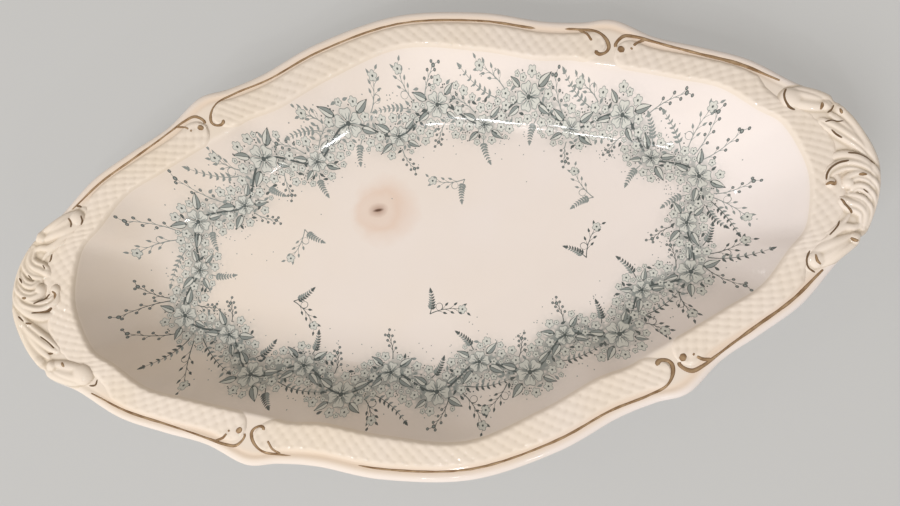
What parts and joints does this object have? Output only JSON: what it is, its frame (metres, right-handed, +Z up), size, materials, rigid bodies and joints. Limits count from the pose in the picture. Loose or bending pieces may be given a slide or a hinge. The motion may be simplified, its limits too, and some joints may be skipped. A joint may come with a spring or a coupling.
{
  "type": "gravy boat underplate",
  "caption": "Oval lobed earthenware underplate with a sunk well, a woven relief rim, scroll-moulded ends and gilt border lines, standing on a low foot ring.",
  "frame": {"origin": "centre of the foot ring on the table plane", "axes": "+X along the dish, +Y across it, +Z up out of the well"},
  "size_m": [0.228, 0.123, 0.0271],
  "materials": {
    "glazed_earthenware": "gloss",
    "foot_clay": "satin",
    "gilding": "satin"
  },
  "bodies": {
    "root": {"dish_body": "glazed_earthenware", "foot_ring": "foot_clay", "weave_panel_back": "glazed_earthenware", "weave_panel_front": "glazed_earthenware", "weave_panel_right_end": "glazed_earthenware", "weave_panel_left_end": "glazed_earthenware", "right_end_scrolls": "glazed_earthenware", "left_end_scrolls": "glazed_earthenware", "gilt_line_back_middle": "gilding", "gilt_line_back_right": "gilding", "gilt_line_back_left": "gilding", "gilt_line_front_middle": "gilding", "gilt_line_front_right": "gilding", "gilt_line_front_left": "gilding", "gilt_touches_right_end": "gilding", "gilt_touches_left_end": "gilding"}
  },
  "joints": []
}
